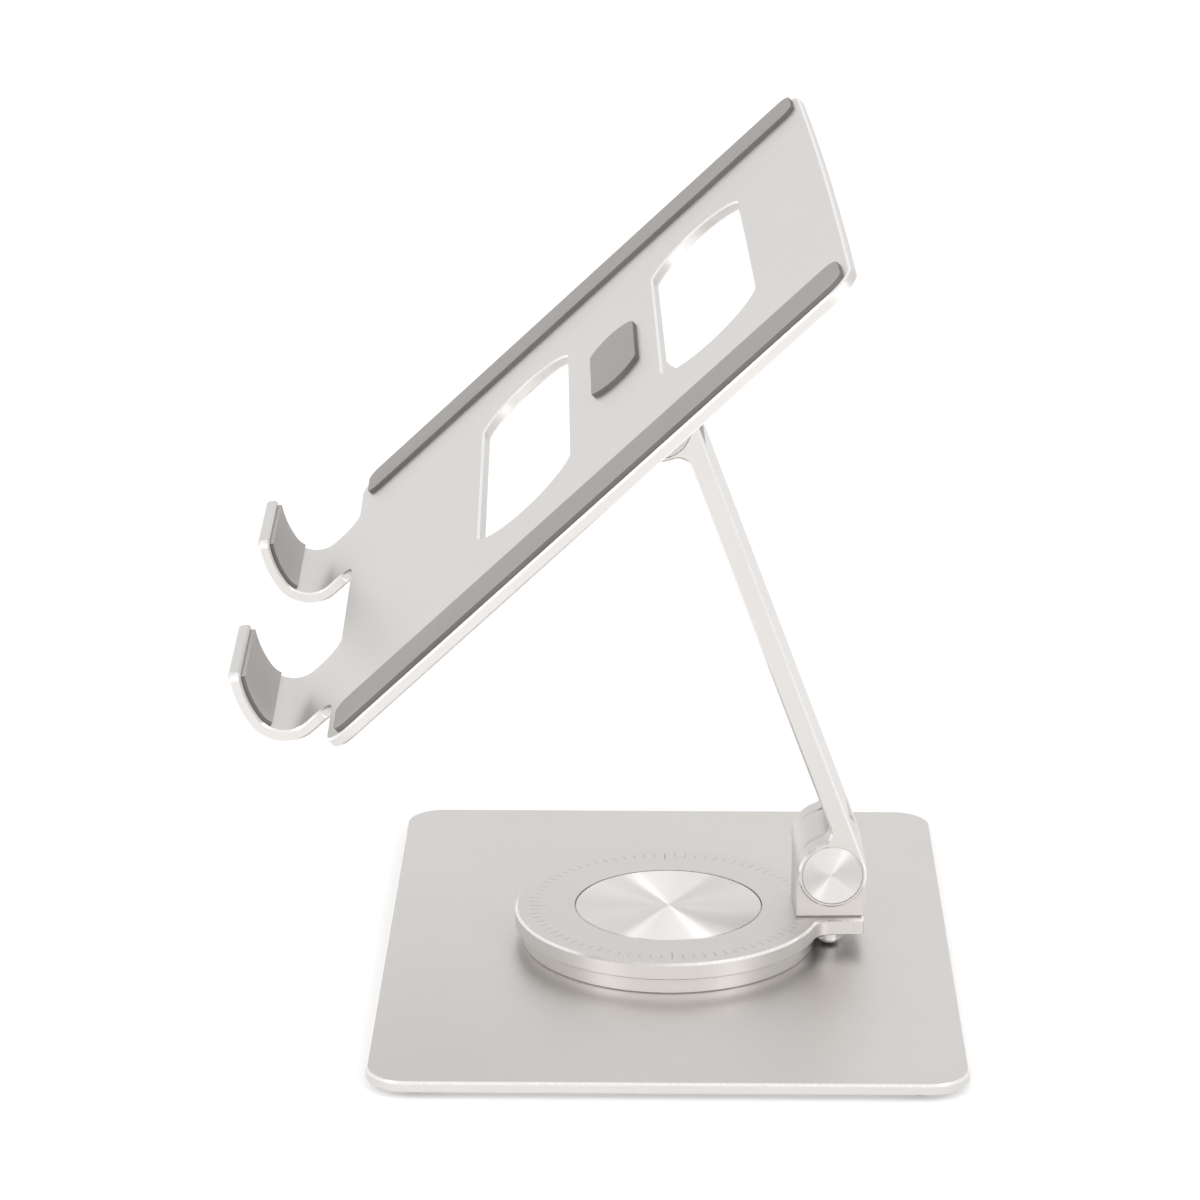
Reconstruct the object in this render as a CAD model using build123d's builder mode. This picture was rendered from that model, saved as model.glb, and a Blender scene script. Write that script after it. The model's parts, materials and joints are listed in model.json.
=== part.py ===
from build123d import *
import os
from math import sin, cos, radians, sqrt

# Swivelling, folding tablet stand. Row frame: +Z up, desk at z = 0, turntable axis
# on the Z axis, the reader's side (hooks) towards -Y. Everything over the base is
# modelled square to it, with the hinge axes along X, and then turned by swivel.

# ---- base ----
base_x = 189.0
base_y = 150.0
plate_t = 3.0
base_corner_r = 10.5
base_chamfer = 0.6
foot_h = 1.8
foot_r = 6.0
foot_in_x = 10.0
foot_in_y = 13.0
foot_edge_r = 0.5
base_top = foot_h + plate_t

# ---- turntable ----
swivel = 1.7
ring_r = 38.9
ring_h = 4.1
ring_chamfer = 0.3
glide_gap = 0.4
glide_out_r = 36.0
glide_in_r = 24.0
disc_r = 40.8
disc_t = 4.5
disc_chamfer = 0.6
disc_low_chamfer = 0.3
face_play = 0.03
ring_top = base_top + ring_h
disc_bottom = ring_top + glide_gap
disc_top = disc_bottom + disc_t
cap_r = 24.75
cap_t = 1.0
cap_play = 0.25
cap_chamfer = 0.3
pocket_r = 12.0
pocket_web = 1.2
pocket_floor = disc_bottom + pocket_web
pivot_r = 4.0
run_play = 0.05
pivot_head_r = 9.0
pivot_head_t = 1.2
pivot_head_gap = 0.2
pivot_head_top = disc_top - cap_t - pivot_head_gap
pivot_socket = 3.0
pivot_washer_t = 0.3
pivot_spring_r = 8.0
pivot_spring_t = 0.3
nut_h = 4.0
nut_across = 13.0
nut_in_ring = 2.4
nut_top = base_top + nut_in_ring
nut_room_r = 8.5
ring_screw_pcd_r = 30.0
ring_screw_count = 4
ring_screw_turn = 45.0

# ---- screws ----
m4_r = 2.0
m4_play = 0.05
m4_csk_head_r = 3.9
m4_csk_head_h = 2.1
m4_button_r = 3.6
m4_button_h = 2.2
m4_button_round = 1.5
m4_socket_across = 2.5
m4_socket_deep = 1.3
m4_end_gap = 0.2
m4_washer_r = 3.8
m4_washer_t = 0.8
m4_lock_washer_r = 3.5
m4_lock_washer_t = 0.95

# ---- hinge blocks, one on the turntable and one behind the panel ----
block_half_x = 9.3
block_half_w = 9.25
axis_height = 14.36
block_chamfer = 0.4
hinge_y = 42.5
hinge_z = disc_top + axis_height
bush_r = 5.5
bush_l = 6.0
axle_r = 4.0
block_screw_x = 4.75
block_screw_reach = 6.2
block_screw_end = 0.5
tongue_half_x = 11.3
tongue_end_y = 51.45
tongue_root_r = 4.5
tongue_corner_r = 0.8

# ---- arm ----
arm_lean = 20.66
arm_length = 130.0
arm_half_x = 16.0
eye_in_x = 9.8
eye_r = 9.0
web_front = 3.8
web_back = 9.0
window_end = 10.0
neck_r = 3.5
arm_chamfer = 0.5
hinge_cap_r = 8.0
hinge_cap_t = 1.2
hinge_cap_play = 0.08
head_room_r = 6.6
head_room_x = 11.8
bolt_head_r = 6.2
bolt_head_h = 2.8
bolt_socket = 2.0
hinge_nut_across = 11.0
disc_washer_r = 8.0

# ---- panel ----
panel_tilt = 43.0
panel_half_x = 109.0
panel_low = -94.5
panel_high = 72.9
panel_crown = 0.9
panel_corner_r = 8.0
panel_chamfer = 0.5
slot_half_w = 15.25
slot_half_l = 60.0
slot_end_r = 16.0
slot_off = 30.75
slot_corner_r = 6.0
strip_in_x = 90.2
strip_out_x = 108.0
strip_low = -90.7
strip_high = 70.0
strip_corner_r = 4.0
strip_t = 1.4
pad_half_w = 7.55
pad_half_l = 22.7
pad_end_r = 8.0
pad_off = 1.25
pad_t = 1.5

# ---- hooks, bent up from the panel's lower edge ----
hook_x = 54.7
hook_half = 20.0
hook_root_r = 6.0
hook_flat = 8.6
hook_bend_r = 7.6
hook_bend_turn = radians(99.0)
hook_lip_r = 26.0
hook_turn = radians(126.0)
hook_tip_r = 2.2
hook_pad_turn = radians(70.0)
hook_pad_t = 1.0
hook_pad_edge = 1.2
hook_pad_tip_r = 1.6

lean_s = sin(radians(arm_lean))
lean_c = cos(radians(arm_lean))
tilt_s = sin(radians(panel_tilt))
tilt_c = cos(radians(panel_tilt))
upper_y = hinge_y - arm_length * lean_s
upper_z = hinge_z + arm_length * lean_c
front_h = axis_height + plate_t
bend_a = panel_low - hook_flat
lip_shift = hook_lip_r - hook_bend_r
pad_end_turn = hook_turn - hook_pad_edge / hook_lip_r
tiny = 0.01
upwards = (Align.CENTER, Align.CENTER, Align.MIN)
downwards = (Align.CENTER, Align.CENTER, Align.MAX)

os.makedirs("parts", exist_ok=True)


def finish(part, name, turned=True):
    """Names a part, turns it with the turntable unless it is on the base, and writes it."""
    placed = part.rotate(Axis.Z, swivel) if turned else part
    placed.label = name
    export_step(placed, "parts/" + name + ".step")


def arm_side(x):
    """Section plane of the arm: x to the arm's back, y along the arm."""
    return Plane(origin=(x, hinge_y, hinge_z), x_dir=(0, lean_c, lean_s), z_dir=(1, 0, 0))


def panel_side(x):
    """Section plane of the panel through the upper hinge axis: x up the slope, y out of the front."""
    return Plane(origin=(x, upper_y, upper_z), x_dir=(0, tilt_c, tilt_s), z_dir=(1, 0, 0))


def panel_face(h, a=0.0):
    """Plane along the panel, h over the upper hinge axis, a up the slope: x across, y up the slope."""
    origin = (0, upper_y + a * tilt_c - h * tilt_s, upper_z + a * tilt_s + h * tilt_c)
    return Plane(origin=origin, x_dir=(1, 0, 0), z_dir=(0, -tilt_s, tilt_c))


def lower_side(x):
    """Section plane of the lower hinge: x towards +Y, y up, on the hinge axis."""
    return Plane(origin=(x, hinge_y, hinge_z), x_dir=(0, 1, 0), z_dir=(1, 0, 0))


def bulged_slot(half_l, half_w, end_r):
    """Two straight long sides joined by outward arcs."""
    straight = half_l - end_r + sqrt(end_r**2 - half_w**2)
    with BuildLine() as outline:
        Line((-straight, -half_w), (straight, -half_w))
        ThreePointArc((straight, -half_w), (half_l, 0), (straight, half_w))
        Line((straight, half_w), (-straight, half_w))
        ThreePointArc((-straight, half_w), (-half_l, 0), (-straight, -half_w))
    return outline.edges()


def hook_point(depth, angle):
    """Point of the hook's section, depth behind its inner face, after turning by angle."""
    if angle <= hook_bend_turn:
        r = hook_bend_r + depth
        return (bend_a - r * sin(angle), front_h + hook_bend_r - r * cos(angle))
    r = hook_lip_r + depth
    a = bend_a + lip_shift * sin(hook_bend_turn) - r * sin(angle)
    w = front_h + hook_bend_r + lip_shift * cos(hook_bend_turn) - r * cos(angle)
    return (a, w)


def hook_arc(depth, start, end):
    """Arc of the hook's section between two angles of the same bend."""
    middle = (start + end) / 2
    ThreePointArc(hook_point(depth, start), hook_point(depth, middle), hook_point(depth, end))


def screw_pair(y=0.0):
    """The two M4 screws that hold a hinge block, side by side on the hinge axis."""
    return Locations((-block_screw_x, y), (block_screw_x, y))


def ring_screw_places():
    return PolarLocations(ring_screw_pcd_r, ring_screw_count, start_angle=ring_screw_turn)


# ================= base body =================

with BuildPart() as base_plate:
    with BuildSketch(Plane.XY.offset(foot_h)):
        RectangleRounded(base_x, base_y, base_corner_r)
    extrude(amount=plate_t)
    chamfer(base_plate.faces().sort_by(Axis.Z)[-1].edges(), base_chamfer)
    chamfer(base_plate.faces().sort_by(Axis.Z)[0].edges(), base_chamfer)
    with BuildSketch(Plane.XY.offset(foot_h)):
        Circle(nut_room_r)
    extrude(amount=plate_t, mode=Mode.SUBTRACT)
    with BuildSketch(Plane.XY.offset(foot_h)):
        with ring_screw_places():
            Circle(m4_r + m4_play)
    extrude(amount=plate_t, mode=Mode.SUBTRACT)
    with Locations(Plane.XY.offset(foot_h)):
        with ring_screw_places():
            Cone(
                m4_csk_head_r + m4_play, m4_r + m4_play, m4_csk_head_h + m4_play,
                align=upwards, mode=Mode.SUBTRACT,
            )
finish(base_plate.part, "base_plate", turned=False)

with BuildPart() as rubber_feet:
    with BuildSketch(Plane.XY):
        with GridLocations(base_x - 2 * foot_in_x, base_y - 2 * foot_in_y, 2, 2):
            Circle(foot_r)
    extrude(amount=foot_h)
    fillet(rubber_feet.faces().filter_by(Plane.XY).group_by(Axis.Z)[0].edges(), foot_edge_r)
finish(rubber_feet.part, "rubber_feet", turned=False)

with BuildPart() as base_ring:
    with BuildSketch(Plane.XY.offset(base_top)):
        Circle(ring_r)
        Circle(pivot_r + run_play, mode=Mode.SUBTRACT)
    extrude(amount=ring_h)
    rims = base_ring.edges().filter_by(GeomType.CIRCLE).filter_by(lambda e: e.radius > ring_r - tiny)
    chamfer(rims, ring_chamfer)
    with BuildSketch(Plane.XY.offset(base_top)):
        RegularPolygon(nut_across / 2 + m4_play, 6, major_radius=False)
        with ring_screw_places():
            Circle(m4_r + m4_play)
    extrude(amount=nut_top - base_top, mode=Mode.SUBTRACT)
finish(base_ring.part, "base_ring", turned=False)

with BuildPart() as ring_screws:
    with Locations(Plane.XY.offset(foot_h)):
        with ring_screw_places():
            Cone(m4_csk_head_r, m4_r, m4_csk_head_h, align=upwards)
            Cylinder(m4_r, nut_top - foot_h - m4_end_gap, align=upwards)
    with BuildSketch(Plane.XY.offset(foot_h)):
        with ring_screw_places():
            RegularPolygon(m4_socket_across / 2, 6, major_radius=False)
    extrude(amount=m4_socket_deep, mode=Mode.SUBTRACT)
finish(ring_screws.part, "ring_screws", turned=False)

with BuildPart() as glide_ring:
    with BuildSketch(Plane.XY.offset(ring_top)):
        Circle(glide_out_r)
        Circle(glide_in_r, mode=Mode.SUBTRACT)
    extrude(amount=glide_gap - face_play)
finish(glide_ring.part, "glide_ring", turned=False)

with BuildPart() as pivot_bolt:
    with BuildSketch(Plane.XY.offset(pivot_head_top - pivot_head_t)):
        Circle(pivot_head_r)
    extrude(amount=pivot_head_t)
    chamfer(pivot_bolt.faces().sort_by(Axis.Z)[-1].edges(), cap_chamfer)
    with BuildSketch(Plane.XY.offset(nut_top - nut_h)):
        Circle(pivot_r)
    extrude(amount=pivot_head_top - pivot_head_t - nut_top + nut_h)
    with BuildSketch(Plane.XY.offset(pivot_head_top)):
        RegularPolygon(m4_socket_across, 6, major_radius=False)
    extrude(amount=-pivot_socket, mode=Mode.SUBTRACT)
finish(pivot_bolt.part, "pivot_bolt", turned=False)

with BuildPart() as pivot_nut:
    with BuildSketch(Plane.XY.offset(nut_top - nut_h)):
        RegularPolygon(nut_across / 2, 6, major_radius=False)
        Circle(pivot_r + m4_play, mode=Mode.SUBTRACT)
    extrude(amount=nut_h)
finish(pivot_nut.part, "pivot_nut", turned=False)

spring_bottom = pocket_floor + face_play + pivot_washer_t
spring_top = pivot_head_top - pivot_head_t

with BuildPart() as pivot_washer:
    with BuildSketch(Plane.XY.offset(pocket_floor + face_play)):
        Circle(pivot_head_r)
        Circle(pivot_r + run_play, mode=Mode.SUBTRACT)
    extrude(amount=pivot_washer_t)
finish(pivot_washer.part, "pivot_washer", turned=False)

with BuildPart() as pivot_spring:
    with BuildSketch(Plane.XZ):
        with BuildLine():
            Polyline(
                (pivot_r + run_play, spring_top - pivot_spring_t),
                (pivot_r + run_play, spring_top),
                (pivot_spring_r, spring_bottom + pivot_spring_t),
                (pivot_spring_r, spring_bottom),
                close=True,
            )
        make_face()
    revolve(axis=Axis.Z)
finish(pivot_spring.part, "pivot_spring", turned=False)

# ================= turntable body =================

with BuildPart() as turntable:
    with BuildSketch(Plane.XY.offset(disc_bottom)) as disc_plan:
        Circle(disc_r)
        with Locations((0, tongue_end_y / 2)):
            Rectangle(2 * tongue_half_x, tongue_end_y)
        roots = disc_plan.vertices().filter_by(lambda v: abs(v.Y) < disc_r and v.Y > disc_r / 2)
        fillet(roots, tongue_root_r)
        fillet(disc_plan.vertices().filter_by(lambda v: v.Y > tongue_end_y - tiny), tongue_corner_r)
    extrude(amount=disc_t)
    disc_rims = turntable.edges().filter_by(GeomType.CIRCLE).filter_by(lambda e: e.radius > disc_r - tiny)
    chamfer(disc_rims.group_by(Axis.Z)[-1], disc_chamfer)
    chamfer(disc_rims.group_by(Axis.Z)[0], disc_low_chamfer)
    with BuildSketch(Plane.XY.offset(disc_top - cap_t)):
        Circle(cap_r + cap_play)
    extrude(amount=cap_t, mode=Mode.SUBTRACT)
    with BuildSketch(Plane.XY.offset(pocket_floor)):
        Circle(pocket_r)
    extrude(amount=disc_top - pocket_floor, mode=Mode.SUBTRACT)
    with BuildSketch(Plane.XY.offset(disc_bottom)):
        Circle(pivot_r + run_play)
        with screw_pair(hinge_y):
            Circle(m4_r + m4_play)
    extrude(amount=disc_t, mode=Mode.SUBTRACT)
finish(turntable.part, "turntable")

with BuildPart() as centre_cap:
    with BuildSketch(Plane.XY.offset(disc_top - cap_t)):
        Circle(cap_r)
    extrude(amount=cap_t)
    chamfer(centre_cap.faces().sort_by(Axis.Z)[-1].edges(), cap_chamfer)
finish(centre_cap.part, "centre_cap")

with BuildPart() as lower_block:
    with BuildSketch(lower_side(-block_half_x)):
        Circle(block_half_w)
        with Locations((0, -axis_height / 2)):
            Rectangle(2 * block_half_w, axis_height)
    extrude(amount=2 * block_half_x)
    chamfer(lower_block.edges(), block_chamfer)
    with BuildSketch(lower_side(-block_half_x)):
        Circle(bush_r)
    extrude(amount=2 * block_half_x, mode=Mode.SUBTRACT)
    with BuildSketch(Plane.XY.offset(disc_top)):
        with screw_pair(hinge_y):
            Circle(m4_r + m4_play)
    extrude(amount=block_screw_reach + block_screw_end, mode=Mode.SUBTRACT)
finish(lower_block.part, "lower_block")

head_top = disc_bottom - m4_washer_t - m4_lock_washer_t

with BuildPart() as block_screws:
    with BuildSketch(Plane.XY.offset(head_top)):
        with screw_pair(hinge_y):
            Circle(m4_r)
    extrude(amount=disc_top + block_screw_reach - head_top)
    with BuildSketch(Plane.XY.offset(head_top - m4_button_h)):
        with screw_pair(hinge_y):
            Circle(m4_button_r)
    extrude(amount=m4_button_h)
    low_rims = block_screws.faces().group_by(Axis.Z)[0].edges()
    fillet(low_rims, m4_button_round)
    with BuildSketch(Plane.XY.offset(head_top - m4_button_h)):
        with screw_pair(hinge_y):
            RegularPolygon(m4_socket_across / 2, 6, major_radius=False)
    extrude(amount=m4_socket_deep, mode=Mode.SUBTRACT)
finish(block_screws.part, "block_screws")

with BuildPart() as block_washers:
    with BuildSketch(Plane.XY.offset(disc_bottom - m4_washer_t)):
        with screw_pair(hinge_y):
            Circle(m4_washer_r)
            Circle(m4_r + m4_play, mode=Mode.SUBTRACT)
    extrude(amount=m4_washer_t)
finish(block_washers.part, "block_washers")

with BuildPart() as lock_washers:
    with BuildSketch(Plane.XY.offset(head_top)):
        with screw_pair(hinge_y):
            Circle(m4_lock_washer_r)
            Circle(m4_r + m4_play, mode=Mode.SUBTRACT)
    extrude(amount=m4_lock_washer_t)
finish(lock_washers.part, "lock_washers")


def bushings(side):
    with BuildPart() as pair:
        for x in (-block_half_x, block_half_x - bush_l):
            with BuildSketch(side(x)):
                Circle(bush_r)
                Circle(axle_r + run_play, mode=Mode.SUBTRACT)
            extrude(amount=bush_l)
    return pair.part


finish(bushings(lower_side), "lower_bushings")

# ================= arm body =================


with BuildPart() as arm:
    for x in (-arm_half_x, eye_in_x):
        with BuildSketch(arm_side(x)) as cheek:
            with Locations((0, 0), (0, arm_length)):
                Circle(eye_r)
            with Locations(((web_front + web_back) / 2, arm_length / 2)):
                Rectangle(web_back - web_front, arm_length)
            necks = cheek.vertices().filter_by(lambda v: abs(v.X - web_front) < tiny)
            fillet(necks, neck_r)
        extrude(amount=arm_half_x - eye_in_x)
    with BuildSketch(arm_side(-eye_in_x)):
        with Locations(((web_front + web_back) / 2, arm_length / 2)):
            Rectangle(web_back - web_front, arm_length - 2 * window_end)
    extrude(amount=2 * eye_in_x)
    outer = arm.faces().filter_by(Axis.X).group_by(Axis.X)
    chamfer(outer[0].edges() + outer[-1].edges(), arm_chamfer)
    for s in (0, arm_length):
        for x, depth in ((-arm_half_x, hinge_cap_t), (arm_half_x, -hinge_cap_t)):
            with BuildSketch(arm_side(x)):
                with Locations((0, s)):
                    Circle(hinge_cap_r + hinge_cap_play)
            extrude(amount=depth, mode=Mode.SUBTRACT)
        head_room = arm_half_x - head_room_x
        for x, depth in ((-arm_half_x, head_room), (arm_half_x, -head_room)):
            with BuildSketch(arm_side(x)):
                with Locations((0, s)):
                    Circle(head_room_r)
            extrude(amount=depth, mode=Mode.SUBTRACT)
        with BuildSketch(arm_side(-arm_half_x)):
            with Locations((0, s)):
                Circle(axle_r + m4_play)
        extrude(amount=2 * arm_half_x, mode=Mode.SUBTRACT)
finish(arm.part, "arm")


def hinge_bolt(s):
    with BuildPart() as bolt:
        with BuildSketch(arm_side(-head_room_x - bolt_head_h)):
            with Locations((0, s)):
                Circle(axle_r)
        extrude(amount=2 * head_room_x + bolt_head_h)
        with BuildSketch(arm_side(head_room_x)):
            with Locations((0, s)):
                Circle(bolt_head_r)
        extrude(amount=bolt_head_h)
        with BuildSketch(arm_side(head_room_x + bolt_head_h)):
            with Locations((0, s)):
                RegularPolygon(m4_socket_across, 6, major_radius=False)
        extrude(amount=-bolt_socket, mode=Mode.SUBTRACT)
    return bolt.part


def hinge_nut(s):
    with BuildPart() as nut:
        with BuildSketch(arm_side(-head_room_x)):
            with Locations((0, s)):
                RegularPolygon(hinge_nut_across / 2, 6, major_radius=False)
                Circle(axle_r + m4_play, mode=Mode.SUBTRACT)
        extrude(amount=-bolt_head_h)
    return nut.part


def friction_discs(s):
    with BuildPart() as pair:
        for x in (-eye_in_x, block_half_x + face_play):
            with BuildSketch(arm_side(x)):
                with Locations((0, s)):
                    Circle(disc_washer_r)
                    Circle(axle_r + m4_play, mode=Mode.SUBTRACT)
            extrude(amount=eye_in_x - block_half_x - face_play)
    return pair.part


def hinge_caps(s):
    with BuildPart() as pair:
        for x in (-arm_half_x, arm_half_x - hinge_cap_t):
            with BuildSketch(arm_side(x)):
                with Locations((0, s)):
                    Circle(hinge_cap_r)
            extrude(amount=hinge_cap_t)
        ends = pair.faces().filter_by(Axis.X).group_by(Axis.X)
        chamfer(ends[0].edges() + ends[-1].edges(), cap_chamfer)
    return pair.part


for place, s in (("lower", 0), ("upper", arm_length)):
    finish(hinge_bolt(s), place + "_bolt")
    finish(hinge_nut(s), place + "_nut")
    finish(friction_discs(s), place + "_friction_discs")
    finish(hinge_caps(s), place + "_hinge_caps")

# ================= panel body =================

with BuildPart() as upper_block:
    with BuildSketch(panel_side(-block_half_x)):
        Circle(block_half_w)
        with Locations((0, axis_height / 2)):
            Rectangle(2 * block_half_w, axis_height)
    extrude(amount=2 * block_half_x)
    chamfer(upper_block.edges(), block_chamfer)
    with BuildSketch(panel_side(-block_half_x)):
        Circle(bush_r)
    extrude(amount=2 * block_half_x, mode=Mode.SUBTRACT)
    with BuildSketch(panel_face(axis_height)):
        with screw_pair():
            Circle(m4_r + m4_play)
    extrude(amount=-block_screw_reach - block_screw_end, mode=Mode.SUBTRACT)
finish(upper_block.part, "upper_block")

finish(bushings(panel_side), "upper_bushings")

with BuildPart() as panel_screws:
    with Locations(panel_face(front_h)):
        with screw_pair():
            Cone(m4_r, m4_csk_head_r, m4_csk_head_h, align=downwards)
            Cylinder(m4_r, plate_t + block_screw_reach, align=downwards)
    with BuildSketch(panel_face(front_h)):
        with screw_pair():
            RegularPolygon(m4_socket_across / 2, 6, major_radius=False)
    extrude(amount=-m4_socket_deep, mode=Mode.SUBTRACT)
finish(panel_screws.part, "panel_screws")

slope = Vector(0, tilt_c, tilt_s)
normal = Vector(0, -tilt_s, tilt_c)
panel_origin = Vector(0, upper_y, upper_z)


def up_slope(edge):
    """How far up the slope from the upper hinge axis the middle of an edge is."""
    return (edge.center() - panel_origin).dot(slope)


def over_axis(edge):
    """How far the middle of an edge is from the upper hinge axis, square to the panel."""
    return (edge.center() - panel_origin).dot(normal)


def from_hook_side(edge):
    """Distance across from the middle of an edge to the nearest side of a hook."""
    return abs(abs(abs(edge.center().X) - hook_x) - hook_half)


with BuildPart() as panel:
    with BuildSketch(panel_face(front_h)) as plan:
        with BuildLine():
            Line((-panel_half_x, panel_high - panel_crown), (-panel_half_x, panel_low))
            Line((-panel_half_x, panel_low), (panel_half_x, panel_low))
            Line((panel_half_x, panel_low), (panel_half_x, panel_high - panel_crown))
            ThreePointArc(
                (panel_half_x, panel_high - panel_crown), (0, panel_high),
                (-panel_half_x, panel_high - panel_crown),
            )
        make_face()
        fillet(plan.vertices(), panel_corner_r)
        for x in (-hook_x, hook_x):
            with Locations((x, panel_low - hook_flat / 2)):
                Rectangle(2 * hook_half, hook_flat)
    extrude(amount=-plate_t)
    through = panel.edges().filter_by(lambda e: abs(e.length - plate_t) < tiny)
    roots = through.filter_by(lambda e: from_hook_side(e) < tiny and up_slope(e) > panel_low - tiny)
    fillet(roots, hook_root_r)
    for x in (-hook_x, hook_x):
        with BuildSketch(panel_side(x - hook_half)):
            with BuildLine():
                Line(hook_point(0, 0), hook_point(plate_t, 0))
                hook_arc(plate_t, 0, hook_bend_turn)
                hook_arc(plate_t, hook_bend_turn, hook_turn)
                Line(hook_point(plate_t, hook_turn), hook_point(0, hook_turn))
                hook_arc(0, hook_turn, hook_bend_turn)
                hook_arc(0, hook_bend_turn, 0)
            make_face()
        extrude(amount=2 * hook_half)
    tips = panel.edges().filter_by(lambda e: abs(e.length - plate_t) < tiny and from_hook_side(e) < tiny)
    fillet(tips.filter_by(lambda e: over_axis(e) > front_h + hook_bend_r), hook_tip_r)
    for a in (-slot_off, slot_off):
        with BuildSketch(panel_face(front_h, a)) as window:
            make_face(bulged_slot(slot_half_l, slot_half_w, slot_end_r))
            fillet(window.vertices(), slot_corner_r)
        extrude(amount=-plate_t, mode=Mode.SUBTRACT)
    flats = panel.faces().sort_by(SortBy.AREA)[-2:]
    chamfer(flats.edges().filter_by(lambda e: up_slope(e) > bend_a + tiny), panel_chamfer)
    with Locations(panel_face(front_h)):
        with screw_pair():
            Cone(
                m4_r + m4_play, m4_csk_head_r + m4_play, m4_csk_head_h + m4_play,
                align=downwards, mode=Mode.SUBTRACT,
            )
            Cylinder(m4_r + m4_play, plate_t, align=downwards, mode=Mode.SUBTRACT)
finish(panel.part, "panel")

for name, side in (("side_strip_left", -1), ("side_strip_right", 1)):
    with BuildPart() as strip:
        with BuildSketch(panel_face(front_h)):
            with Locations((side * (strip_in_x + strip_out_x) / 2, (strip_low + strip_high) / 2)):
                RectangleRounded(strip_out_x - strip_in_x, strip_high - strip_low, strip_corner_r)
        extrude(amount=strip_t)
    finish(strip.part, name)

with BuildPart() as centre_pad:
    with BuildSketch(panel_face(front_h, pad_off)):
        make_face(bulged_slot(pad_half_l, pad_half_w, pad_end_r))
    extrude(amount=pad_t)
finish(centre_pad.part, "centre_pad")

for name, x in (("hook_pad_left", -hook_x), ("hook_pad_right", hook_x)):
    with BuildPart() as hook_pad:
        with BuildSketch(panel_side(x - hook_half + hook_pad_edge)):
            with BuildLine():
                hook_arc(0, hook_pad_turn, hook_bend_turn)
                hook_arc(0, hook_bend_turn, pad_end_turn)
                Line(hook_point(0, pad_end_turn), hook_point(-hook_pad_t, pad_end_turn))
                hook_arc(-hook_pad_t, pad_end_turn, hook_bend_turn)
                hook_arc(-hook_pad_t, hook_bend_turn, hook_pad_turn)
                Line(hook_point(-hook_pad_t, hook_pad_turn), hook_point(0, hook_pad_turn))
            make_face()
        extrude(amount=2 * (hook_half - hook_pad_edge))
        ends = hook_pad.edges().filter_by(lambda e: abs(e.length - hook_pad_t) < tiny)
        fillet(ends.sort_by(Axis.Z)[-2:], hook_pad_tip_r)
    finish(hook_pad.part, name)
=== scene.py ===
import json
import math

import bmesh
import bpy
from mathutils import Matrix, Vector


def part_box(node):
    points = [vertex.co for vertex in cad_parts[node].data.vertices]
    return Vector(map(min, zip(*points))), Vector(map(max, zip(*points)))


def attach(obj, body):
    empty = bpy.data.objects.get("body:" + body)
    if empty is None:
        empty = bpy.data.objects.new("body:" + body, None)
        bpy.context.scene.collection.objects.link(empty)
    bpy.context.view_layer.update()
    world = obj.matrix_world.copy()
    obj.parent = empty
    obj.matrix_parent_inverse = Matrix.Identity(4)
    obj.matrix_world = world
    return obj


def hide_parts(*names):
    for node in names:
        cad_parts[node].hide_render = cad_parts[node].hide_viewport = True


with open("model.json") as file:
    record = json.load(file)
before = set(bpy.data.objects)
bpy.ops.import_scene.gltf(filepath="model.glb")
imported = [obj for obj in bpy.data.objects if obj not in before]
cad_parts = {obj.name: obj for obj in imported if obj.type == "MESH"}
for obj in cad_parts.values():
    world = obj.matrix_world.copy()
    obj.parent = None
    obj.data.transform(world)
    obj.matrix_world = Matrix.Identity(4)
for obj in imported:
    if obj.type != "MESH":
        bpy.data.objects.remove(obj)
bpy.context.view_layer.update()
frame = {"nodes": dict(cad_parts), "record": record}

NODES = frame["nodes"]


def middle(node):
    """The middle of a node's box, in the row frame."""
    low_corner, high_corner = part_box(node)
    return (low_corner + high_corner) / 2


# ---------------------------------------------------------------- the stand at rest
SWIVEL = math.radians(1.7)      # the turntable and all above it rest turned by this about +Z
TILT = math.radians(43.0)       # the panel's slope
SQUARE = Matrix.Rotation(-SWIVEL, 3, "Z")                          # turns the upper bodies back square
SLOPE = Vector((0.0, math.cos(TILT), math.sin(TILT)))              # up the panel
NORMAL = Vector((0.0, -math.sin(TILT), math.cos(TILT)))            # out of its face
UPPER_AXIS = SQUARE @ middle("upper_hinge_caps")
HOOKS_BELOW = -0.0985           # along the slope from the upper hinge: under this, all is hook

TICKS = 80
LONG_TICKS = 4
TICK_OUTER_R = 0.0371
TICK_INNER_R = 0.0347
LONG_TICK_EXTRA = 0.0020
TICK_HALF_W = 0.00014
LONG_TICK_EXTRA_W = 0.00006


# ---------------------------------------------------------------- camera
def make_camera():
    """Looks along -X, a little down and rolled by a third of a degree, with a small sideways shift."""
    pitch = math.radians(17.865)
    roll = 0.00546
    forward = Vector((-math.cos(pitch), 0.0, -math.sin(pitch)))
    level = Vector((0.0, 1.0, 0.0))
    over = level.cross(forward)
    right = level * math.cos(roll) + over * math.sin(roll)
    up = over * math.cos(roll) - level * math.sin(roll)
    data = bpy.data.cameras.new("camera")
    data.sensor_width = 36.0
    data.lens = 123.8
    data.shift_x = -0.0559
    data.clip_start = 0.05
    data.clip_end = 20.0
    cam = bpy.data.objects.new("camera", data)
    bpy.context.scene.collection.objects.link(cam)
    pose = Matrix((right, up, -forward)).transposed().to_4x4()
    pose.translation = Vector((1.0218, -0.0008, 0.4284))
    cam.matrix_world = pose
    bpy.context.scene.camera = cam


make_camera()


# ---------------------------------------------------------------- materials
RANGE_KEYS = ("From Min", "From Max", "To Min", "To Max")


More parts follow.
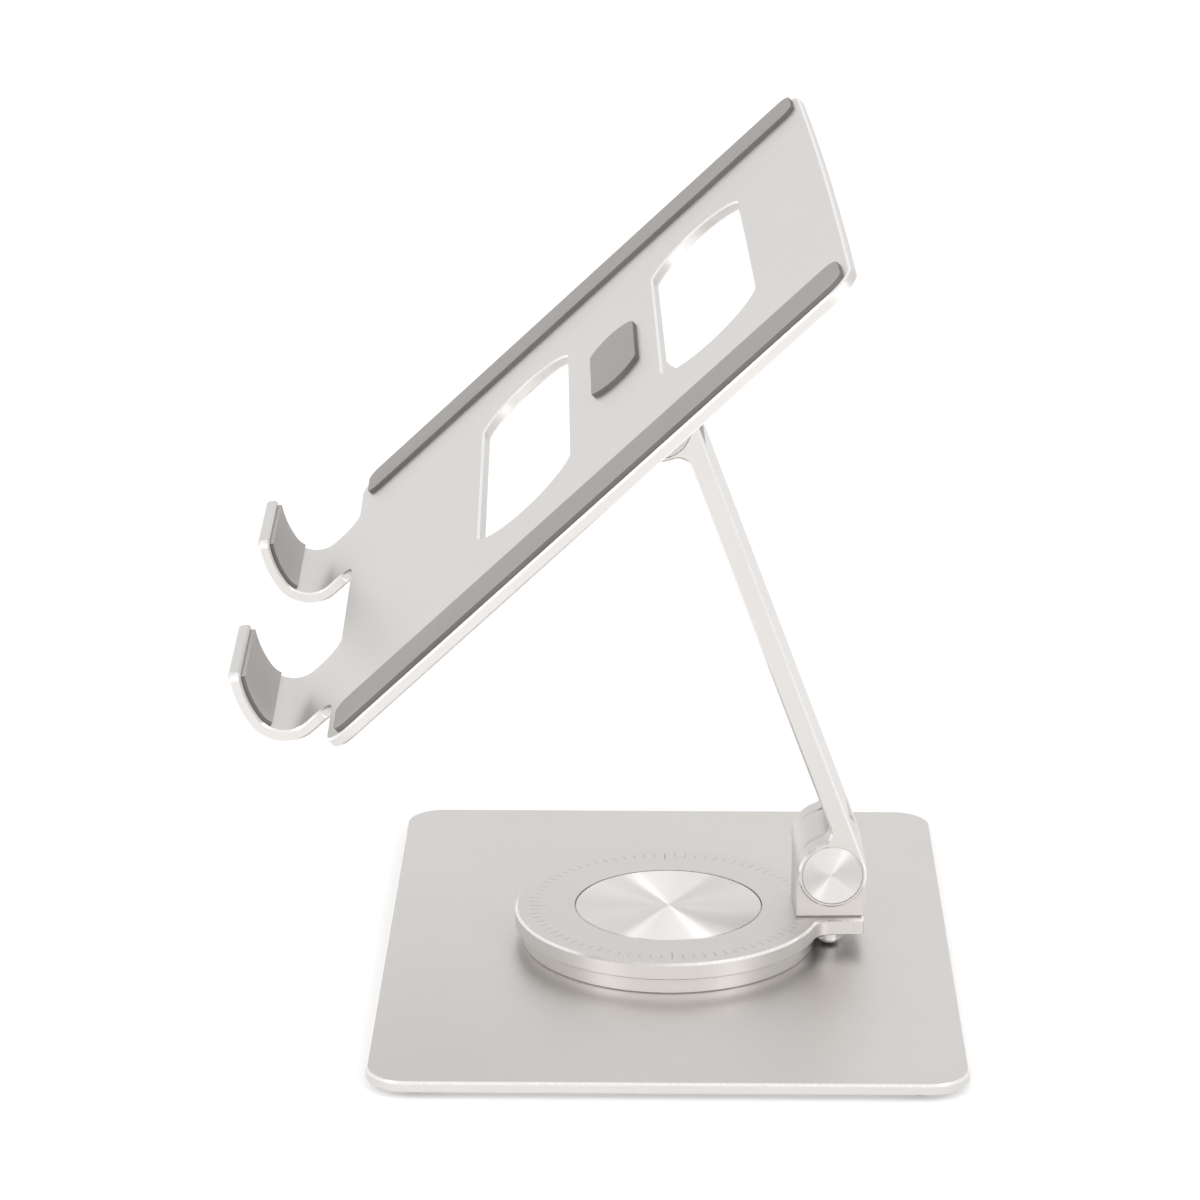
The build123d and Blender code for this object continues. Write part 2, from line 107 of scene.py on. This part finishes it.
class Graph:
    """A short way to write a material's node tree."""

    def __init__(self, name):
        self.material = bpy.data.materials.new(name)
        self.material.use_nodes = True
        self.tree = self.material.node_tree
        self.shader = self.tree.nodes["Principled BSDF"]

    def node(self, kind, inputs=None, **settings):
        made = self.tree.nodes.new(kind)
        for key, value in settings.items():
            setattr(made, key, value)
        for key, value in (inputs or {}).items():
            self.put(made.inputs[key], value)
        return made

    def put(self, socket, value):
        if isinstance(value, bpy.types.NodeSocket):
            self.tree.links.new(value, socket)
        else:
            socket.default_value = value

    def set(self, **inputs):
        for key, value in inputs.items():
            self.put(self.shader.inputs[key.replace("_", " ")], value)

    def math(self, operation, a, b=0.0, c=0.0):
        made = self.node("ShaderNodeMath", operation=operation)
        for socket, value in zip(made.inputs, (a, b, c)):
            self.put(socket, value)
        return made.outputs[0]

    def coords(self):
        return self.node("ShaderNodeTexCoord").outputs["Object"]

    def blend(self, a, share, b):
        """A weighted sum of two values."""
        return self.math("MULTIPLY_ADD", a, share, self.math("MULTIPLY", b, 1.0 - share))

    def noise(self, where, scale, detail=2.0, rough=0.5):
        made = self.node("ShaderNodeTexNoise", {"Vector": where, "Scale": scale, "Detail": detail})
        made.inputs["Roughness"].default_value = rough
        return made.outputs["Fac"]

    def ramp(self, value, low, high, out_low, out_high):
        made = self.node("ShaderNodeMapRange", {"Value": value})
        for key, number in zip(RANGE_KEYS, (low, high, out_low, out_high)):
            self.put(made.inputs[key], number)
        return made.outputs["Result"]

    def spread(self, value, out_low, out_high):
        """Stretches the useful middle of a noise value over a new range."""
        return self.ramp(value, 0.3, 0.7, out_low, out_high)

    def mix(self, factor, a, b):
        made = self.node("ShaderNodeMix", data_type="RGBA")
        self.put(made.inputs[0], factor)
        for socket, value in ((made.inputs[6], a), (made.inputs[7], b)):
            self.put(socket, value if isinstance(value, bpy.types.NodeSocket) else (*value, 1.0))
        return made.outputs[2]

    def bump(self, height, strength, distance, below=None):
        settings = {"Height": height, "Strength": strength, "Distance": distance}
        made = self.node("ShaderNodeBump", settings)
        if below is not None:
            self.put(made.inputs["Normal"], below)
        return made.outputs["Normal"]


ALUMINIUM = (0.655, 0.635, 0.618)
CUT_DARK, CUT_LIGHT = (0.80, 0.786, 0.772), (0.87, 0.856, 0.842)
SPUN_DARK, SPUN_LIGHT = (0.89, 0.873, 0.857), (0.98, 0.962, 0.945)
TICK_GREY = (0.42, 0.42, 0.42)
LATHE_PITCH = 0.00022           # between two turning marks of a spun cap


def blasted(name, base, rough, grain=1.0):
    """Bead-blasted metal: a fine sparkle, faint clouds and a slow change of gloss."""
    g = Graph(name)
    at = g.coords()
    clouds = g.noise(at, 14.0, 3.0)
    fine = g.noise(at, 2600.0, 2.0, 0.6)
    speck = g.noise(at, 900.0, 3.0, 0.7)
    tone = g.blend(fine, 0.35, clouds)
    gloss = g.blend(speck, 0.5, clouds)
    dark = tuple(c * 0.955 for c in base)
    light = tuple(min(1.0, c * 1.035) for c in base)
    g.set(Base_Color=g.mix(g.spread(tone, 0.0, 1.0), dark, light), Metallic=1.0)
    g.set(Roughness=g.spread(gloss, rough - 0.05, rough + 0.06))
    near = g.bump(fine, 0.22 * grain, 0.00006)
    g.set(Normal=g.bump(speck, 0.10 * grain, 0.0001, near))
    return g


def cut_edge(name):
    """A chamfer cut with a diamond tool after anodising: bright, with fine tool marks along it."""
    g = Graph(name)
    at = g.coords()
    marks = g.noise(at, 1500.0, 2.0, 0.6)
    g.set(Base_Color=g.mix(g.spread(marks, 0.0, 1.0), CUT_DARK, CUT_LIGHT), Metallic=1.0)
    g.set(Roughness=g.spread(marks, 0.20, 0.28), Normal=g.bump(marks, 0.08, 0.00004))
    return g.material


def plane_parts(g, at, centre, axis):
    """The two coordinates across an axis, measured from a centre on it."""
    moved = g.node("ShaderNodeVectorMath", {0: at, 1: centre}, operation="SUBTRACT").outputs[0]
    parts = g.node("ShaderNodeSeparateXYZ", {"Vector": moved}).outputs
    return (parts[1], parts[2]) if axis == "X" else (parts[0], parts[1])


def radius_of(g, a, b):
    return g.math("SQRT", g.math("MULTIPLY_ADD", a, a, g.math("MULTIPLY", b, b)))


def off_whole(g, value):
    """How far a value is from the nearest whole number."""
    return g.math("ABSOLUTE", g.math("SUBTRACT", value, g.math("ROUND", value)))


def spun(name, centre, axis):
    """A disc faced on a lathe: fine rings with an anisotropic gloss that draws light into wedges."""
    g = Graph(name)
    at = g.coords()
    radius = radius_of(g, *plane_parts(g, at, centre, axis))
    rings = g.math("SINE", g.math("MULTIPLY", radius, 2 * math.pi / LATHE_PITCH))
    along = g.math("MULTIPLY", radius, 2600.0)
    drift = g.node("ShaderNodeCombineXYZ", {0: along, 1: 0.0, 2: 0.0}).outputs[0]
    uneven = g.noise(drift, 1.0, 2.0, 0.7)
    tone = g.math("MULTIPLY_ADD", rings, 0.08, uneven)
    shade = g.mix(g.ramp(tone, 0.25, 0.75, 0.0, 1.0), SPUN_DARK, SPUN_LIGHT)
    g.set(Base_Color=shade, Metallic=1.0)
    g.set(Roughness=g.spread(uneven, 0.48, 0.55))
    g.shader.inputs["Anisotropic"].default_value = 1.0
    g.shader.inputs["Anisotropic Rotation"].default_value = 0.25
    tangent = g.node("ShaderNodeTangent", direction_type="RADIAL", axis=axis)
    g.set(Tangent=tangent.outputs[0])
    g.set(Normal=g.bump(g.math("ADD", rings, uneven), 0.05, 0.00002))
    return g.material


def rubber(name, dark, light, rough, grain):
    """Moulded silicone or rubber: matt, finely spark-eroded, with faint dust and handling marks."""
    g = Graph(name)
    at = g.coords()
    clouds = g.noise(at, 45.0, 4.0, 0.6)
    fine = g.noise(at, 1800.0, 2.0, 0.6)
    dust = g.ramp(g.noise(at, 520.0, 3.0, 0.6), 0.66, 0.76, 0.0, 0.35)
    body = g.mix(g.spread(g.blend(fine, 0.3, clouds), 0.0, 1.0), dark, light)
    dusty = tuple(min(1.0, c * 1.35) for c in light)
    g.set(Base_Color=g.mix(dust, body, dusty))
    g.set(Roughness=g.spread(clouds, rough - 0.06, rough + 0.08))
    g.set(Normal=g.bump(fine, 0.25 * grain, 0.00008))
    g.shader.inputs["Specular IOR Level"].default_value = 0.4
    return g.material


def graduated():
    """The turntable's metal, with a ring of faint grey strokes, four of them longer."""
    g = blasted("anodised_graduated", ALUMINIUM, 0.40)
    at = g.coords()
    a, b = plane_parts(g, at, (0.0, 0.0, 0.0), "Z")
    radius = radius_of(g, a, b)
    turn = g.math("DIVIDE", g.math("ARCTAN2", b, a), 2 * math.pi)
    steps = g.math("MULTIPLY", g.math("SUBTRACT", turn, SWIVEL / (2 * math.pi)), float(TICKS))
    arc = g.math("MULTIPLY", off_whole(g, steps), g.math("MULTIPLY", radius, 2 * math.pi / TICKS))
    per_long = TICKS / LONG_TICKS
    off_long = g.math("MULTIPLY", off_whole(g, g.math("DIVIDE", steps, per_long)), per_long)
    is_long = g.math("LESS_THAN", off_long, 0.5)
    inner = g.math("MULTIPLY_ADD", is_long, -LONG_TICK_EXTRA, TICK_INNER_R)
    outside_inner = g.math("GREATER_THAN", radius, inner)
    within = g.math("MULTIPLY", outside_inner, g.math("LESS_THAN", radius, TICK_OUTER_R))
    width = g.math("MULTIPLY_ADD", is_long, LONG_TICK_EXTRA_W, TICK_HALF_W)
    stroke = g.math("MULTIPLY", g.math("LESS_THAN", arc, width), within)
    normal = g.node("ShaderNodeNewGeometry").outputs["True Normal"]
    up = g.node("ShaderNodeSeparateXYZ", {"Vector": normal}).outputs[2]
    stroke = g.math("MULTIPLY", stroke, g.math("GREATER_THAN", up, 0.9))
    worn = g.math("MULTIPLY", stroke, g.spread(g.noise(at, 160.0, 2.0), 0.5, 0.95))
    colour = g.shader.inputs["Base Color"].links[0].from_socket
    g.set(Base_Color=g.mix(worn, colour, TICK_GREY))
    rough = g.shader.inputs["Roughness"].links[0].from_socket
    g.set(Roughness=g.math("MULTIPLY_ADD", stroke, 0.15, rough))
    return g.material


plain = blasted("anodised", ALUMINIUM, 0.40).material
graduated_metal = graduated()
bright = cut_edge("cut_edge")
silicone = rubber("silicone", (0.250, 0.237, 0.226), (0.293, 0.278, 0.265), 0.62, 1.0)
hook_silicone = rubber("hook_silicone", (0.350, 0.334, 0.320), (0.405, 0.388, 0.372), 0.62, 1.0)
# a darker copy of the pads' silicone for their sides: painted shade, the sides darkened for the light
# that does not fall on them
silicone_painted_shade = rubber("silicone_painted_shade", (0.095, 0.089, 0.085), (0.140, 0.133, 0.127), 0.55, 1.0)
black = rubber("rubber", (0.060, 0.060, 0.060), (0.095, 0.095, 0.093), 0.66, 1.0)
nylon = rubber("nylon", (0.66, 0.65, 0.61), (0.74, 0.73, 0.69), 0.45, 0.5)
bronze = blasted("bronze", (0.58, 0.42, 0.22), 0.38).material
steel = blasted("steel", (0.66, 0.66, 0.67), 0.24, 0.5).material

BY_SLOT = {
    "anodised": plain, "silicone": silicone, "rubber": black, "nylon": nylon,
    "bronze": bronze, "steel": steel,
}
SPUN_AT = {
    "centre_cap": ((0.0, 0.0, 0.0), "Z"),
    "lower_hinge_caps": (tuple(middle("lower_hinge_caps")), "X"),
    "upper_hinge_caps": (tuple(middle("upper_hinge_caps")), "X"),
}

for part in frame["record"]["subparts"]:
    node = part["node"]
    slots = NODES[node].data.materials
    slots.clear()
    if node in SPUN_AT:
        slots.append(spun("spun_" + node, *SPUN_AT[node]))
    elif node == "turntable":
        slots.append(graduated_metal)
    else:
        slots.append(BY_SLOT[part["material_slot"]])


# ---------------------------------------------------------------- silicone mouldings
def soft_piece(node, faces_out, rounding, face_material):
    """A moulded silicone pad in place of its CAD solid: rounded rims, the face in its silicone, and
    the sides in a darker copy of that silicone which is painted shade.
    """
    mesh = bpy.data.meshes.new(node + "_moulded")
    body = bmesh.new()
    body.from_mesh(NODES[node].data)
    bmesh.ops.remove_doubles(body, verts=body.verts, dist=1e-6)
    flat = math.radians(0.5)
    bmesh.ops.dissolve_limit(body, angle_limit=flat, verts=body.verts, edges=body.edges)
    sharp = math.radians(50)
    rims = [
        edge for edge in body.edges
        if len(edge.link_faces) == 2 and edge.calc_face_angle(0.0) > sharp
        and any(faces_out(SQUARE @ face.normal) for face in edge.link_faces)
    ]
    bmesh.ops.bevel(
        body, geom=rims, offset=rounding, segments=3, profile=0.5,
        affect="EDGES", clamp_overlap=True,
    )
    body.normal_update()
    body.to_mesh(mesh)
    body.free()
    made = bpy.data.objects.new(node + "_moulded", mesh)
    bpy.context.scene.collection.objects.link(made)
    mesh.materials.append(face_material)
    mesh.materials.append(silicone_painted_shade)
    # faces not turned out get the second, darker silicone: painted shade on the pads' sides
    for face in mesh.polygons:
        face.use_smooth = True
        if not faces_out(SQUARE @ face.normal):
            face.material_index = 1
    mesh.set_sharp_from_angle(angle=math.radians(40))
    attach(made, "panel")
    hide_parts(node)


def faces_reader(normal):
    return normal.dot(NORMAL) > 0.5


def faces_hook_throat(normal):
    up, out = normal.dot(SLOPE), normal.dot(NORMAL)
    return abs(normal.x) < 0.5 and up > -0.2 and (up > 0.1 or out > 0.2) and out > -0.75


for name in ("side_strip_left", "side_strip_right", "centre_pad"):
    soft_piece(name, faces_reader, 0.0004, silicone)
for name in ("hook_pad_left", "hook_pad_right"):
    soft_piece(name, faces_hook_throat, 0.0003, hook_silicone)


# ---------------------------------------------------------------- bright cut chamfers
def cut_faces(node, is_cut):
    """Gives the chamfers of a node the bright machined metal."""
    mesh = NODES[node].data
    mesh.materials.append(bright)
    for face in mesh.polygons:
        if is_cut(SQUARE @ face.center, SQUARE @ face.normal):
            face.material_index = 1


def panel_chamfer(centre, normal):
    if (centre - UPPER_AXIS).dot(SLOPE) < HOOKS_BELOW:
        return side_chamfer(centre, normal)
    return 0.15 < abs(normal.dot(NORMAL)) < 0.95


def level_chamfer(centre, normal):
    return 0.15 < abs(normal.z) < 0.95


def side_chamfer(centre, normal):
    return 0.3 < abs(normal.x) < 0.95


cut_faces("panel", panel_chamfer)
cut_faces("base_plate", level_chamfer)
cut_faces("turntable", level_chamfer)
cut_faces("arm", side_chamfer)

# ---------------------------------------------------------------- floor, light and colour
FLOOR_SIZE = 12.0
FLOOR_GREY = 0.72
FLOOR_GLOW = 0.27               # lifts the lit floor just past white, and leaves a faint shadow
SKY_LOW, SKY_HIGH = 1.01, 1.05  # strength near the horizon and overhead
SKY_FRONT = 0.85                # added in front of the stand, towards +X


def make_floor():
    bpy.ops.mesh.primitive_plane_add(size=FLOOR_SIZE)
    floor = bpy.context.object
    floor.name = "floor"
    paper = Graph("paper")
    paper.set(Base_Color=(FLOOR_GREY, FLOOR_GREY, FLOOR_GREY, 1.0), Roughness=0.9)
    paper.shader.inputs["Emission Color"].default_value = (1.0, 1.0, 1.0, 1.0)
    paper.shader.inputs["Emission Strength"].default_value = FLOOR_GLOW
    floor.data.materials.append(paper.material)


def make_sky():
    """A white sky, a little stronger overhead and much stronger in front of the stand."""
    world = bpy.data.worlds.new("studio")
    bpy.context.scene.world = world
    world.use_nodes = True
    sky = world.node_tree
    backdrop = sky.nodes["Background"]
    backdrop.inputs["Color"].default_value = (1.0, 1.0, 1.0, 1.0)
    direction = sky.nodes.new("ShaderNodeSeparateXYZ")
    where = sky.nodes.new("ShaderNodeTexCoord").outputs["Generated"]
    sky.links.new(where, direction.inputs[0])
    total = sky.nodes.new("ShaderNodeMath")
    up_range = ("Z", (0.35, 0.85, SKY_LOW, SKY_HIGH))
    front_range = ("X", (0.45, 0.9, 0.0, SKY_FRONT))
    for socket, (axis, numbers) in zip(total.inputs, (up_range, front_range)):
        ramp = sky.nodes.new("ShaderNodeMapRange")
        sky.links.new(direction.outputs[axis], ramp.inputs["Value"])
        for key, number in zip(RANGE_KEYS, numbers):
            ramp.inputs[key].default_value = number
        sky.links.new(ramp.outputs[0], socket)
    sky.links.new(total.outputs[0], backdrop.inputs["Strength"])


def softbox(name, side, power):
    """A tall soft light in front of the stand, to one side of the camera."""
    at = Vector((0.70, side * 0.85, 0.80))
    aim = Vector((0.0, 0.0, 0.04))
    data = bpy.data.lights.new(name, "AREA")
    data.shape = "RECTANGLE"
    data.size = 0.35
    data.size_y = 0.6
    data.energy = power
    lamp = bpy.data.objects.new(name, data)
    lamp.location = at
    lamp.rotation_euler = (aim - at).to_track_quat("-Z", "Y").to_euler()
    bpy.context.scene.collection.objects.link(lamp)


make_floor()
make_sky()
softbox("left_box", -1, 2.7)
softbox("right_box", 1, 2.6)
bpy.context.scene.view_settings.view_transform = "Standard"
